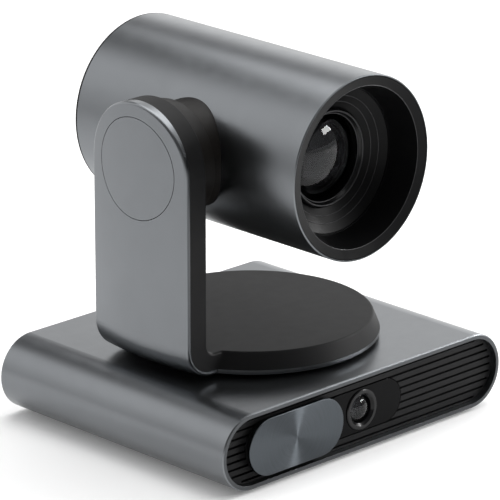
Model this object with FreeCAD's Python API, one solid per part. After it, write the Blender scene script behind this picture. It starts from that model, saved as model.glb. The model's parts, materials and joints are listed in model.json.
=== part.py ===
import FreeCAD, Part
import math
import os

# A pan-tilt-zoom conference camera: a flat stadium-section base, an L-shaped yoke that turns on it,
# and a barrel-shaped camera head that tilts on the yoke's arm. Millimetres, +Z up, front towards -Y.
# The origin is on the pan axis, at the height of the surface that the rubber feet stand on.

V = FreeCAD.Vector
AXES = {"x": V(1, 0, 0), "y": V(0, 1, 0), "z": V(0, 0, 1)}

# --- Driving dimensions: base ---
BASE_WIDTH = 180.0
BASE_HEIGHT = 36.0
BASE_DEPTH = 148.0
BASE_WALL = 2.2
RIM_CHAMFER = 0.5
FOOT_HEIGHT = 1.5
END_PLATE_PROUD = 1.2
SLIP = 0.1                      # gap all round a part that slides into the base shell

BASE_BOTTOM = FOOT_HEIGHT
BASE_TOP = BASE_BOTTOM + BASE_HEIGHT
BASE_MID = BASE_BOTTOM + BASE_HEIGHT / 2
BASE_FRONT = -BASE_DEPTH / 2
BASE_BACK = BASE_DEPTH / 2
BASE_FLOOR = BASE_BOTTOM + BASE_WALL
CAVITY_HALF_WIDTH = BASE_WIDTH / 2 - BASE_WALL
CAVITY_HALF_HEIGHT = BASE_HEIGHT / 2 - BASE_WALL
NECK_HOLE_R = 12.5

FOOT_R = 8.0
FOOT_SINK = 0.6
FOOT_PLACES = [(x, y) for x in (-62.0, 62.0) for y in (-56.0, 56.0)]
CHASSIS_THICK = 1.5
CHASSIS_TOP = BASE_FLOOR + CHASSIS_THICK
CHASSIS_HALF_WIDTH = 72.0
CHASSIS_SPAN_Y = (-60.0, 68.0)

# --- Mounting holes in the underside ---
TRIPOD_THREAD_R = 2.55          # 1/4-20 thread, minor radius
TRIPOD_INSERT_R = 6.0
TRIPOD_INSERT_TOP = 8.6
TRIPOD_THREAD_DEPTH = 6.0
BRACKET_THREAD_R = 1.65         # M4 thread, minor radius
BRACKET_INSERT_R = 3.5
BRACKET_INSERT_TOP = 8.6
BRACKET_THREAD_DEPTH = 6.0
BRACKET_SPACING = (100.0, 100.0)
BRACKET_PLACES = [(x * BRACKET_SPACING[0] / 2, y * BRACKET_SPACING[1] / 2)
                  for x in (-1, 1) for y in (-1, 1)]

# --- Countersunk M3 screws of the base, and low-head M3 screws of the yoke ---
SCREW_R = 1.5
SCREW_HEAD_R = 2.9
SCREW_HEAD_DEEP = 1.5
SCREW_LENGTH = 6.0
SCREW_SLIP = 0.05
SCREW_SOCKET_R = 1.15
SCREW_SOCKET_DEEP = 1.0
LOW_HEAD_R = 2.5
LOW_HEAD_TALL = 0.9
YOKE_SCREW_BITE = 1.8           # how far a yoke screw reaches into its flange
BASE_SCREW_PLACES = [(x, y) for x in (-66.0, 66.0) for y in (-30.0, 30.0)]
PANEL_SCREW_X = 80.0

# --- Front of the base ---
GRILLE_RECESS = 3.0
GRILLE_THICK = 4.0
GROOVE_PITCH = 3.5
GROOVE_WIDE = 1.1
GROOVE_DEEP = 1.6
GROOVE_MARGIN = 1.2
GROOVES_EACH_SIDE = 4
MIC_HOLE_R = 0.6
MIC_HOLES_X = (-84.0, 50.0, 84.0)
WINDOW_HALF_WIDTH = 26.0
WINDOW_HALF_HEIGHT = 10.5
WINDOW_THICK = 2.0
WINDOW_PROUD = 0.2
WINDOW_GAP = 0.3
BADGE_X = -45.0
BADGE_HALF_WIDTH = 29.6
BADGE_HALF_HEIGHT = 13.55
BADGE_THICK = 1.5
BADGE_EDGE = 0.35
PEDESTAL_INSET = 1.2
OVERVIEW_RING_R = 9.65
OVERVIEW_RING_HOLE_R = 6.6
OVERVIEW_RING_PROUD = 1.0
OVERVIEW_GLASS_R = 6.2
OVERVIEW_GLASS_DOME_R = 9.0
OVERVIEW_BARREL_R = 7.0
OVERVIEW_BARREL_DEEP = 9.0
MIC_BOARD_X = (-66.0, 62.0)
MIC_BOARD_HALF = (20.0, 5.0)

# --- Boards and sockets ---
BOARD_THICK = 1.6
MAIN_BOARD_Z = 9.0
IO_BOARD_Z = 12.0
IO_TOP = IO_BOARD_Z + BOARD_THICK
MAIN_BOARD_SPAN = ((-71.0, -29.0), (-54.0, 46.0))
MAIN_BOARD_SPACERS = [(x, y) for x in (-68.0, -32.0) for y in (-22.0, 43.0)]
IO_BOARD_SPAN = ((-71.0, 68.0), (48.0, 69.0))
IO_BOARD_SPACERS = [(-68.0, 52.0), (65.0, 52.0)]
SPACER_R = 2.5
CHIP_AT = (-50.0, -8.0)
CHIP_HALF = 7.0
CHIP_THICK = 1.5
SINK_HALF = 12.0
SINK_THICK = 2.0
SINK_TALL = 12.0
SINK_FINS = 7
SINK_FIN_THICK = 1.2
SINK_FIN_PITCH = 3.6
SOCKET_FACE_Y = BASE_BACK + END_PLATE_PROUD - 0.2
SOCKET_CUT_GAP = 0.3
POWER_X, POWER_SIZE = 62.0, (9.0, 11.0, 14.0)
HDMI_X, HDMI_SIZE = 40.0, (15.0, 6.0, 12.0)
USB_X, USB_SIZE = 16.0, (13.1, 5.8, 15.0)
LAN_X, LAN_SIZE = -10.0, (16.0, 13.5, 21.0)
AUDIO_X, AUDIO_SIZE = -36.0, (8.0, 7.0, 14.0)
RESET_X, RESET_Z = -52.0, 17.1
RESET_R = 1.5
RESET_HOLE_R = 1.55
RESET_SWITCH_HALF = 3.0
RESET_SWITCH_Y = (58.0, 64.8)
LOCK_SLOT_X, LOCK_SLOT_SIZE = -68.0, (7.0, 3.0)

# --- Pan drive ---
PAN_SHAFT_R = 8.5
PAN_SHAFT_BORE_R = 5.0
PAN_SHAFT_BOTTOM = 9.5
PAN_SHOULDER_R = 11.0
PAN_FLANGE_R = 16.0
PAN_RACE_R = (8.5, 13.0)
PAN_RACE_TALL = 5.0
PAN_RACE_Z = (11.0, 20.0)
PAN_BALLS = 13
PAN_BALL_R = 1.1
PEDESTAL_R = 17.0
PEDESTAL_TOP = 26.0
PEDESTAL_FLANGE = (26.0, 2.5)
PAN_PULLEY_Z = (27.0, 33.0)
PAN_PULLEY_R, PAN_PULLEY_TEETH = 20.0, 40
PAN_PINION_R, PAN_PINION_TEETH = 6.0, 12
PAN_MOTOR_AT = (45.0, 25.0)
PAN_MOTOR_WIDE = 35.0
PAN_MOTOR_Z = (CHASSIS_TOP, 25.2)
BELT_THICK = 1.2
BELT_GAP = 0.3
BELT_WIDE = 4.0
PULLEY_GROOVE_R = 0.7
PULLEY_FLANGE_THICK = 0.6
PULLEY_FLANGE_PROUD = 1.6
MOTOR_SHAFT_GAP = 0.05

# --- Yoke ---
YOKE_GAP = 1.6                  # between the base's top and the yoke's tray
TRAY_THICK = 2.4
DISC_TOP_R = 56.5
DISC_RIM_R = 59.6
DISC_TALL = 7.8
ARM_OUT_X = -72.5
ARM_BOW_R = 170.0               # the arm's outer face is a shallow vertical arc
ARM_SPLIT_X = -67.8             # where the outer and inner shells meet
ARM_IN_X = -57.4
ARM_HALF_WIDE = 30.5
BEND_OUT_R = 16.0
BEND_SPLIT_R = 12.5
BEND_IN_R = 5.0
YOKE_WALL = 2.0
ARM_SKIN = 1.8
YOKE_EDGE_R = 1.2
YOKE_SHARP_ANGLE = 30.0         # degrees between two faces, above which their edge is rounded
TILT_Z = 133.9
CAP_R = 23.5
CAP_GAP = 0.3
HUB_COVER_R = (29.5, 27.2)
HUB_COVER_X = (ARM_IN_X, -48.4)
HUB_COVER_HOLE_R = 12.5
FRAME_X = (-66.0, -63.5)
FRAME_THICK = 2.5
FRAME_BEND_R = 6.0
FRAME_HALF_WIDE = 24.0
FRAME_REACH_X = 22.0
FRAME_SLOT_Z = (66.0, 98.0)

TRAY_BOTTOM = BASE_TOP + YOKE_GAP
TRAY_TOP = TRAY_BOTTOM + TRAY_THICK
DISC_TOP = TRAY_TOP + DISC_TALL
FLANGE_TOP = TRAY_TOP + 2.2

# --- Tilt drive ---
TILT_SHAFT_R = 10.0
TILT_SHAFT_BORE_R = 6.0
TILT_FLANGE_R = 15.0
TILT_FLANGE_THICK = 2.2
TILT_SHAFT_END_X = -30.0
TILT_RACE_R = (10.0, 16.0)
TILT_RACE_X = (-46.5, -39.5)
TILT_BALLS = 14
TILT_BALL_R = 1.4
TILT_PULLEY_X = (-36.0, -30.0)
TILT_PULLEY_R, TILT_PULLEY_TEETH = 16.0, 32
TILT_PINION_R, TILT_PINION_TEETH = 5.0, 10
TILT_MOTOR_Y = 45.0
TILT_MOTOR_WIDE = 28.0
TILT_MOTOR_X = (-28.0, -4.0)

# --- Camera head ---
BARREL_R = 42.9
BARREL_WALL = 2.0
BARREL_FRONT = -70.3
BARREL_BACK = 71.0
BACK_COVER_GAP = 0.2
BACK_COVER_THICK = 1.8
BACK_EDGE_R = 1.7
FRONT_EDGE = 0.4
HEAD_HUB_R = 24.9
HEAD_HUB_X = -47.8
HEAD_BOSS_R = 19.0
HEAD_BOSS_END_X = -38.0
HEAD_LIP_R = 13.5
BARREL_BORE_R = BARREL_R - BARREL_WALL

HOOD_FLANGE_R = 42.1            # the flange fills a rebate in the barrel's front edge
HOOD_FLANGE_BACK_Y = -68.3
HOOD_LIP_R = (41.8, 37.5)
HOOD_LIP_Y = (-70.1, -68.9)
HOOD_THROAT_R = 33.4
HOOD_THROAT_Y = -54.2
HOOD_THROAT_STEP = 0.6
HOOD_SHELF_R = 23.0
HOOD_SHELF_Y = -48.2
HOOD_WALL = 1.6
LENS_RING_R = (22.8, 20.6)
LENS_RING_Y = (-49.6, -43.0)
LENS_SPLIT_R = 21.8
FRONT_GLASS_R = 20.5
FRONT_GLASS_DOME_R = 36.0
FRONT_GLASS_APEX_Y = -50.4
FRONT_GLASS_BACK_Y = -43.0
HOUSING_HALF = 23.0
HOUSING_WALL = 3.0
HOUSING_Y = (-43.0, 27.0)
HOUSING_WINDOW_R = 17.0
ROD_R = 1.5
ROD_FIT = 0.05
ROD_OFFSET = 15.5
CARRIAGE_HALF = 18.5
CARRIAGE_THICK = 6.0
ZOOM_CARRIAGE_Y = -34.0
FOCUS_CARRIAGE_Y = 8.0
GROUP_LENS_R = (12.4, 9.0)
GROUP_LENS_THICK = 4.0
LENS_MOTOR_R = 5.0
LENS_MOTOR_X = 10.0
LENS_MOTOR_Y = (-20.0, 12.0)
SENSOR_HALF = (8.0, 6.0)
CRADLE_Y = (-42.0, 60.0)
CRADLE_HALF_WIDE = 27.5
CRADLE_THICK = 2.5
CRADLE_RIB_X = 12.0


# --- Shape helpers ---
def box(x, y, z):
    """A box from its (low, high) span along each axis."""
    return Part.makeBox(x[1] - x[0], y[1] - y[0], z[1] - z[0], V(x[0], y[0], z[0]))


def about(centre, half):
    """The (low, high) span of a given half width about a centre."""
    return (centre - half, centre + half)


def rod(axis, radius, span, at=(0.0, 0.0)):
    """A cylinder along an axis; at gives the other two coordinates in X, Y, Z order."""
    start = {"x": V(span[0], *at), "y": V(at[0], span[0], at[1]), "z": V(*at, span[0])}[axis]
    return Part.makeCylinder(radius, span[1] - span[0], start, AXES[axis])


def ring(axis, radii, span, at=(0.0, 0.0)):
    """A plain ring, from its inner and outer radii."""
    return rod(axis, radii[1], span, at).cut(rod(axis, radii[0], span, at))


def turned(axis, profile, at=(0.0, 0.0)):
    """A closed outline of (radius, place along the axis) points, turned a full circle."""
    points = [V(r, 0, t) for r, t in profile]
    face = Part.Face(Part.makePolygon(points + points[:1]))
    solid = face.revolve(V(0, 0, 0), V(0, 0, 1), 360)
    base = {"x": V(0, *at), "y": V(at[0], 0, at[1]), "z": V(*at, 0)}[axis]
    turn = FreeCAD.Rotation(V(0, 0, 1), AXES[axis])
    return solid.transformed(FreeCAD.Placement(base, turn).toMatrix(), True)


def stadium(half_width, half_height, y, at=(0.0, BASE_MID)):
    """A bar of stadium section (flat top and bottom, full round ends) along Y."""
    flat = half_width - half_height
    solid = box(about(at[0], flat), y, about(at[1], half_height))
    for side in (-1, 1):
        solid = solid.fuse(rod("y", half_height, y, (at[0] + side * flat, at[1])))
    return solid.removeSplitter()


def edges_at(shape, test):
    """The edges whose box passes a test."""
    return [edge for edge in shape.Edges if test(edge.BoundBox)]


def sharp_edges(shape, least_angle):
    """The edges where two faces meet at more than an angle in degrees."""
    sharp = []
    for edge in shape.Edges:
        faces = [face for face in shape.Faces if any(edge.isSame(other) for other in face.Edges)]
        if len(faces) == 2:
            middle = edge.valueAt((edge.FirstParameter + edge.LastParameter) / 2)
            normals = [face.normalAt(*face.Surface.parameter(middle)) for face in faces]
            if math.degrees(normals[0].getAngle(normals[1])) > least_angle:
                sharp.append(edge)
    return sharp


def fuse_all(shapes):
    return shapes[0].multiFuse(list(shapes[1:])).removeSplitter()


def toothed(axis, radius, teeth, span, at=(0.0, 0.0)):
    """A belt pulley: a round disc with one round-bottomed groove per tooth."""
    disc = rod(axis, radius, span, at)
    grooves = []
    for i in range(teeth):
        turn = 2 * math.pi * i / teeth
        across = (at[0] + radius * math.cos(turn), at[1] + radius * math.sin(turn))
        grooves.append(rod(axis, PULLEY_GROOVE_R, span, across))
    return disc.cut(Part.makeCompound(grooves))


def belt(radii, distance, wide):
    """A flat belt about two pulleys, the larger at the origin and the smaller along +X."""
    def loop(extra):
        big, small = radii[0] + extra, radii[1] + extra
        lean = math.acos((big - small) / distance)
        far = [V(big * math.cos(lean), s * big * math.sin(lean), 0) for s in (1, -1)]
        near = [V(distance + small * math.cos(lean), s * small * math.sin(lean), 0) for s in (1, -1)]
        edges = [Part.Arc(far[0], V(-big, 0, 0), far[1]).toShape(), Part.makeLine(far[1], near[1]),
                 Part.Arc(near[1], V(distance + small, 0, 0), near[0]).toShape(),
                 Part.makeLine(near[0], far[0])]
        return Part.Face(Part.Wire(edges)).extrude(V(0, 0, wide))
    return loop(BELT_GAP + BELT_THICK).cut(loop(BELT_GAP))


def countersunk_screw(place, into):
    """A countersunk screw whose head lies flush at a place and whose shank runs inwards."""
    profile = [(0, 0), (SCREW_HEAD_R, 0), (SCREW_R, SCREW_HEAD_DEEP), (SCREW_R, SCREW_LENGTH),
               (0, SCREW_LENGTH)]
    socket = hexagon_prism(SCREW_SOCKET_R, SCREW_SOCKET_DEEP)
    return aimed(turned("z", profile).cut(socket), place, into)


def countersink(place, into):
    """The hole that a countersunk screw fits, cut through whatever it passes."""
    head, bore = SCREW_HEAD_R + SCREW_SLIP, SCREW_R + SCREW_SLIP
    profile = [(0, 0), (head, 0), (bore, SCREW_HEAD_DEEP), (bore, SCREW_LENGTH), (0, SCREW_LENGTH)]
    return aimed(turned("z", profile), place, into)


def low_head_screw(place, into, shank):
    """A thin-headed screw; the place is where the head's underside lies."""
    body = fuse_all([rod("z", LOW_HEAD_R, (-LOW_HEAD_TALL, 0)), rod("z", SCREW_R, (0, shank))])
    socket = hexagon_prism(SCREW_SOCKET_R, LOW_HEAD_TALL / 2).translated(V(0, 0, -LOW_HEAD_TALL))
    return aimed(body.cut(socket), place, into)


def hexagon_prism(radius, tall):
    points = [V(radius * math.cos(i * math.pi / 3), radius * math.sin(i * math.pi / 3), 0) for i in range(7)]
    return Part.Face(Part.makePolygon(points)).extrude(V(0, 0, tall))


def aimed(shape, place, into):
    """Moves a shape built along +Z to a place, pointing along a direction."""
    turn = FreeCAD.Rotation(V(0, 0, 1), V(*into))
    return shape.transformed(FreeCAD.Placement(V(*place), turn).toMatrix(), True)


# --- Ball bearings: the outer race carries the balls, the inner race stands a little clear of them ---
def bearing_sizes(radii):
    step = (radii[1] - radii[0]) / 3
    return radii[0] + step, radii[1] - step, (radii[0] + radii[1]) / 2


def ball_groove(axis, pitch_r, groove_r, middle, at):
    centre = {"x": V(middle, *at), "z": V(*at, middle)}[axis]
    return Part.makeTorus(pitch_r, groove_r, centre, AXES[axis])


def outer_race(axis, radii, span, ball_r, balls, at=(0.0, 0.0)):
    _, race_in, pitch_r = bearing_sizes(radii)
    middle = sum(span) / 2
    race = ring(axis, (race_in, radii[1]), span, at).cut(ball_groove(axis, pitch_r, ball_r, middle, at))
    solids = [race]
    for i in range(balls):
        turn = 2 * math.pi * i / balls
        across = (at[0] + pitch_r * math.cos(turn), at[1] + pitch_r * math.sin(turn))
        centre = {"x": V(middle, *across), "z": V(*across, middle)}[axis]
        solids.append(Part.makeSphere(ball_r, centre))
    return solids


def inner_race(axis, radii, span, ball_r, at=(0.0, 0.0)):
    race_out, _, pitch_r = bearing_sizes(radii)
    groove = ball_groove(axis, pitch_r, ball_r + BELT_GAP, sum(span) / 2, at)
    return ring(axis, (radii[0], race_out), span, at).cut(groove)


# --- Base: casing ---
def base_shell():
    shell = stadium(BASE_WIDTH / 2, BASE_HEIGHT / 2, (BASE_FRONT, BASE_BACK))
    rims = edges_at(shell, lambda b: b.YLength < 0.01)
    shell = shell.makeChamfer(RIM_CHAMFER, rims)
    shell = shell.cut(stadium(CAVITY_HALF_WIDTH, CAVITY_HALF_HEIGHT, (BASE_FRONT - 1, BASE_BACK + 1)))
    cuts = [rod("z", NECK_HOLE_R, (BASE_TOP - 2 * BASE_WALL, BASE_TOP + 1)),
            rod("z", TRIPOD_INSERT_R + SLIP, (0, BASE_FLOOR + 1))]
    cuts += [rod("z", FOOT_R + SLIP, (0, BASE_BOTTOM + FOOT_SINK), p) for p in FOOT_PLACES]
    cuts += [rod("z", BRACKET_INSERT_R + SLIP, (0, BASE_FLOOR + 1), p) for p in BRACKET_PLACES]
    cuts += [countersink((*p, BASE_BOTTOM), (0, 0, 1)) for p in BASE_SCREW_PLACES]
    return [shell.cut(Part.makeCompound(cuts))]


def rubber_feet():
    feet = []
    for place in FOOT_PLACES:
        foot = rod("z", FOOT_R, (0, BASE_BOTTOM + FOOT_SINK), place)
        feet.append(foot.makeFillet(FOOT_SINK / 2, edges_at(foot, lambda b: b.ZMax < 0.01)))
    return feet


def base_chassis():
    plate = box(about(0, CHASSIS_HALF_WIDTH), CHASSIS_SPAN_Y, (BASE_FLOOR, CHASSIS_TOP))
    through = (BASE_FLOOR - 1, CHASSIS_TOP + 1)
    cuts = [rod("z", TRIPOD_INSERT_R + SLIP, through)]
    cuts += [rod("z", BRACKET_INSERT_R + SLIP, through, p) for p in BRACKET_PLACES]
    cuts += [rod("z", SCREW_R + SCREW_SLIP, through, p) for p in BASE_SCREW_PLACES]
    return [plate.cut(Part.makeCompound(cuts))]


def tripod_insert():
    insert = rod("z", TRIPOD_INSERT_R, (BASE_BOTTOM, TRIPOD_INSERT_TOP))
    return [insert.cut(rod("z", TRIPOD_THREAD_R, (0, BASE_BOTTOM + TRIPOD_THREAD_DEPTH)))]


def bracket_inserts():
    inserts = []
    for place in BRACKET_PLACES:
        insert = rod("z", BRACKET_INSERT_R, (BASE_BOTTOM, BRACKET_INSERT_TOP), place)
        inserts.append(insert.cut(rod("z", BRACKET_THREAD_R, (0, BASE_BOTTOM + BRACKET_THREAD_DEPTH), place)))
    return inserts


def base_screws():
    back = BASE_BACK + END_PLATE_PROUD
    screws = [countersunk_screw((*p, BASE_BOTTOM), (0, 0, 1)) for p in BASE_SCREW_PLACES]
    for x in (-PANEL_SCREW_X, PANEL_SCREW_X):
        screws.append(countersunk_screw((x, back, BASE_MID), (0, -1, 0)))
    return screws


# --- Base: front ---
GRILLE_FACE = BASE_FRONT + GRILLE_RECESS
BADGE_FACE = BASE_FRONT - END_PLATE_PROUD


def front_grille():
    half_w, half_h = CAVITY_HALF_WIDTH - SLIP, CAVITY_HALF_HEIGHT - SLIP
    plate = stadium(half_w, half_h, (GRILLE_FACE, GRILLE_FACE + GRILLE_THICK))
    cuts = []
    for step in range(-GROOVES_EACH_SIDE, GROOVES_EACH_SIDE + 1):
        height = step * GROOVE_PITCH
        reach = half_w - half_h + math.sqrt((half_h - GROOVE_MARGIN) ** 2 - height ** 2)
        cuts.append(box(about(0, reach), (GRILLE_FACE - 1, GRILLE_FACE + GROOVE_DEEP),
                        about(BASE_MID + height, GROOVE_WIDE / 2)))
    through = (GRILLE_FACE - 1, GRILLE_FACE + GRILLE_THICK + 1)
    cuts += [rod("y", MIC_HOLE_R, through, (x, BASE_MID)) for x in MIC_HOLES_X]
    cuts.append(stadium(WINDOW_HALF_WIDTH + WINDOW_GAP, WINDOW_HALF_HEIGHT + WINDOW_GAP,
                        (GRILLE_FACE - 1, GRILLE_FACE + WINDOW_THICK)))
    cuts.append(rod("y", OVERVIEW_RING_R + SLIP, through, (0, BASE_MID)))
    return [plate.cut(Part.makeCompound(cuts))]


def window_panel():
    face = GRILLE_FACE - WINDOW_PROUD
    panel = stadium(WINDOW_HALF_WIDTH, WINDOW_HALF_HEIGHT, (face, GRILLE_FACE + WINDOW_THICK))
    panel = panel.makeChamfer(WINDOW_PROUD, edges_at(panel, lambda b: b.YMax < face + 0.01))
    panel = panel.cut(rod("y", OVERVIEW_RING_R + SLIP, (face - 1, 0), (0, BASE_MID)))
    return [panel.cut(badge_footprint(BADGE_THICK))]


def badge_footprint(extra):
    """The space that the badge's pedestal takes out of the window panel behind it."""
    return stadium(BADGE_HALF_WIDTH - PEDESTAL_INSET + extra, BADGE_HALF_HEIGHT - PEDESTAL_INSET + extra,
                   (BASE_FRONT, GRILLE_FACE), (BADGE_X, BASE_MID))


def badge_pedestal():
    back_of_badge = BADGE_FACE + BADGE_THICK
    return [stadium(BADGE_HALF_WIDTH - PEDESTAL_INSET, BADGE_HALF_HEIGHT - PEDESTAL_INSET,
                    (back_of_badge, GRILLE_FACE), (BADGE_X, BASE_MID))]


def badge_plate():
    span = (BADGE_FACE, BADGE_FACE + BADGE_THICK)
    plate = stadium(BADGE_HALF_WIDTH, BADGE_HALF_HEIGHT, span, (BADGE_X, BASE_MID))
    return [plate.makeFillet(BADGE_EDGE, edges_at(plate, lambda b: b.YMax < BADGE_FACE + 0.01))]


def overview_lens_ring():
    front, back = GRILLE_FACE - OVERVIEW_RING_PROUD, GRILLE_FACE + GRILLE_THICK
    lip, funnel = 0.8, 1.2
    outer_r, hole_r = OVERVIEW_RING_R, OVERVIEW_RING_HOLE_R
    profile = [(outer_r, back), (outer_r, front + lip / 2), (outer_r - lip / 2, front),
               (hole_r + funnel, front), (hole_r, front + funnel), (hole_r, back)]
    return [turned("y", profile, (0, BASE_MID))]


def overview_lens_glass():
    rim_y = GRILLE_FACE + 1.2
    sagitta = OVERVIEW_GLASS_DOME_R - math.sqrt(OVERVIEW_GLASS_DOME_R ** 2 - OVERVIEW_GLASS_R ** 2)
    dome = Part.makeSphere(OVERVIEW_GLASS_DOME_R, V(0, rim_y - sagitta + OVERVIEW_GLASS_DOME_R, BASE_MID))
    return [dome.common(rod("y", OVERVIEW_GLASS_R, (rim_y - sagitta - 1, rim_y + 1), (0, BASE_MID)))]


def overview_lens_barrel():
    glass_back = GRILLE_FACE + 2.2
    shoulder = GRILLE_FACE + GRILLE_THICK
    bore_r = OVERVIEW_GLASS_R - 1
    profile = [(bore_r, glass_back), (OVERVIEW_GLASS_R, glass_back), (OVERVIEW_GLASS_R, shoulder),
               (OVERVIEW_BARREL_R, shoulder), (OVERVIEW_BARREL_R, shoulder + OVERVIEW_BARREL_DEEP),
               (bore_r, shoulder + OVERVIEW_BARREL_DEEP)]
    return [turned("y", profile, (0, BASE_MID))]


def overview_camera_board():
    half_wide, half_tall, sensor_half = 15.0, 11.0, (3.5, 2.6)
    front = GRILLE_FACE + GRILLE_THICK + OVERVIEW_BARREL_DEEP
    board = box(about(0, half_wide), (front, front + BOARD_THICK), about(BASE_MID, half_tall))
    sensor = box(about(0, sensor_half[0]), (front - 1, front), about(BASE_MID, sensor_half[1]))
    return [board, sensor]


def microphone_boards():
    front = GRILLE_FACE + GRILLE_THICK
    half_wide, half_tall = MIC_BOARD_HALF
    return [box(about(x, half_wide), (front, front + BOARD_THICK), about(BASE_MID, half_tall))
            for x in MIC_BOARD_X]


# --- Base: boards, rear panel and sockets ---
def main_board():
    """The processor board on spacers, with its main chip and a finned heat sink."""
    top = MAIN_BOARD_Z + BOARD_THICK
    board = box(*MAIN_BOARD_SPAN, (MAIN_BOARD_Z, top))
    spacers = [rod("z", SPACER_R, (CHASSIS_TOP, MAIN_BOARD_Z), p) for p in MAIN_BOARD_SPACERS]
    (chip_x, chip_y), chip_half, chip_top = CHIP_AT, CHIP_HALF, top + CHIP_THICK
    chip = box(about(chip_x, chip_half), about(chip_y, chip_half), (top, chip_top))
    sink_x, sink_y = about(chip_x, SINK_HALF), about(chip_y, SINK_HALF)
    solids = [box(sink_x, sink_y, (chip_top, chip_top + SINK_THICK))]
    for i in range(SINK_FINS):
        fin_x = sink_x[0] + SINK_FIN_THICK + i * SINK_FIN_PITCH
        solids.append(box(about(fin_x, SINK_FIN_THICK / 2), sink_y, (chip_top, chip_top + SINK_TALL)))
    return [board] + spacers + [chip, fuse_all(solids)]


def io_board():
    """The board that carries the sockets, on spacers, with the switch behind the reset button."""
    board = box(*IO_BOARD_SPAN, (IO_BOARD_Z, IO_TOP))
    spacers = [rod("z", SPACER_R, (CHASSIS_TOP, IO_BOARD_Z), p) for p in IO_BOARD_SPACERS]
    half = RESET_SWITCH_HALF
    reset_switch = box(about(RESET_X, half), RESET_SWITCH_Y, (IO_TOP, IO_TOP + 2 * half))
    return [board] + spacers + [reset_switch]


def socket_box(x, size):
    """The outer box of a socket of (width, height, depth), standing on the input board."""
    return box(about(x, size[0] / 2), (SOCKET_FACE_Y - size[2], SOCKET_FACE_Y), (IO_TOP, IO_TOP + size[1]))


def socket_cut(x, size):
    """The opening in the rear panel for a socket."""
    gap = SOCKET_CUT_GAP
    tall = (IO_TOP - gap, IO_TOP + size[1] + gap)
    return box(about(x, size[0] / 2 + gap), (BASE_BACK - 5, BASE_BACK + 5), tall)


def rear_panel():
    plug_depth, lip_inset = 4.0, 1.5
    plug = stadium(CAVITY_HALF_WIDTH - SLIP, CAVITY_HALF_HEIGHT - SLIP, (BASE_BACK - plug_depth, BASE_BACK))
    back = BASE_BACK + END_PLATE_PROUD
    lip = stadium(BASE_WIDTH / 2 - lip_inset, BASE_HEIGHT / 2 - lip_inset, (BASE_BACK, back))
    edge = edges_at(lip, lambda b: b.YMin > back - 0.01)
    panel = plug.fuse(lip.makeFillet(END_PLATE_PROUD / 2, edge)).removeSplitter()
    cuts = [socket_cut(x, s) for x, s in ((POWER_X, POWER_SIZE), (HDMI_X, HDMI_SIZE), (USB_X, USB_SIZE),
                                          (LAN_X, LAN_SIZE))]
    through = (BASE_BACK - 5, BASE_BACK + 5)
    cuts.append(rod("y", AUDIO_NOSE_R + SLIP, through, (AUDIO_X, AUDIO_Z)))
    cuts.append(box(about(AUDIO_X, AUDIO_SIZE[0] / 2 + SLIP), (through[0], BASE_BACK - 1),
                    (IO_TOP - SLIP, IO_TOP + AUDIO_SIZE[1] + SLIP)))
    cuts.append(rod("y", RESET_HOLE_R, through, (RESET_X, RESET_Z)))
    slot_wide, slot_tall = LOCK_SLOT_SIZE
    cuts.append(box(about(LOCK_SLOT_X, slot_wide / 2), through, about(BASE_MID, slot_tall / 2)))
    cuts += [countersink((x, back, BASE_MID), (0, -1, 0)) for x in (-PANEL_SCREW_X, PANEL_SCREW_X)]
    return [panel.cut(Part.makeCompound(cuts))]


AUDIO_Z = IO_TOP + AUDIO_SIZE[1] / 2
AUDIO_NOSE_R = 3.0


def power_jack():
    bore_r, pin_r, deep = 2.85, 1.0, 10.0
    at = (POWER_X, IO_TOP + POWER_SIZE[1] / 2)
    bore = rod("y", bore_r, (SOCKET_FACE_Y - deep, SOCKET_FACE_Y + 1), at)
    pin = rod("y", pin_r, (SOCKET_FACE_Y - deep - 1, SOCKET_FACE_Y - 1), at)
    return [socket_box(POWER_X, POWER_SIZE).cut(bore).fuse(pin).removeSplitter()]


def tongued_socket(x, size, wall, deep, tongue):
    """A metal-framed socket with a contact tongue of (width, thickness, height above the middle)."""
    middle = IO_TOP + size[1] / 2
    mouth = box(about(x, size[0] / 2 - wall), (SOCKET_FACE_Y - deep, SOCKET_FACE_Y + 1),
                about(middle, size[1] / 2 - wall))
    blade = box(about(x, tongue[0] / 2), (SOCKET_FACE_Y - deep - 1, SOCKET_FACE_Y - 1),
                about(middle + tongue[2], tongue[1] / 2))
    return [socket_box(x, size).cut(mouth).fuse(blade).removeSplitter()]


def hdmi_port():
    return tongued_socket(HDMI_X, HDMI_SIZE, 0.5, 8.0, (11.0, 1.0, 0.6))


def usb_port():
    return tongued_socket(USB_X, USB_SIZE, 0.4, 12.0, (11.0, 1.6, 1.0))


def lan_port():
    deep, bottom = 14.0, IO_TOP + 3.0
    span = (SOCKET_FACE_Y - deep, SOCKET_FACE_Y + 1)
    mouth = box(about(LAN_X, 5.9), span, (bottom, bottom + 7.8))
    latch_step = box(about(LAN_X, 3.0), span, (bottom - 1.5, bottom))
    return [socket_box(LAN_X, LAN_SIZE).cut(mouth).cut(latch_step)]


def audio_jack():
    bore_r, deep = 1.8, 13.0
    at = (AUDIO_X, AUDIO_Z)
    behind_panel = box(about(AUDIO_X, AUDIO_SIZE[0]), (0, BASE_BACK - 1), (0, BASE_TOP))
    body = socket_box(AUDIO_X, AUDIO_SIZE).common(behind_panel)
    nose = rod("y", AUDIO_NOSE_R, (BASE_BACK - 1, SOCKET_FACE_Y), at)
    return [fuse_all([body, nose]).cut(rod("y", bore_r, (SOCKET_FACE_Y - deep, SOCKET_FACE_Y + 1), at))]


def reset_button():
    at = (RESET_X, RESET_Z)
    flange_r, flange_y = 2.5, (BASE_BACK - 6.4, BASE_BACK - 5.4)
    stem = rod("y", RESET_R, (BASE_BACK - 8.2, BASE_BACK + END_PLATE_PROUD - 0.4), at)
    return [fuse_all([stem, rod("y", flange_r, flange_y, at)])]


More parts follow.
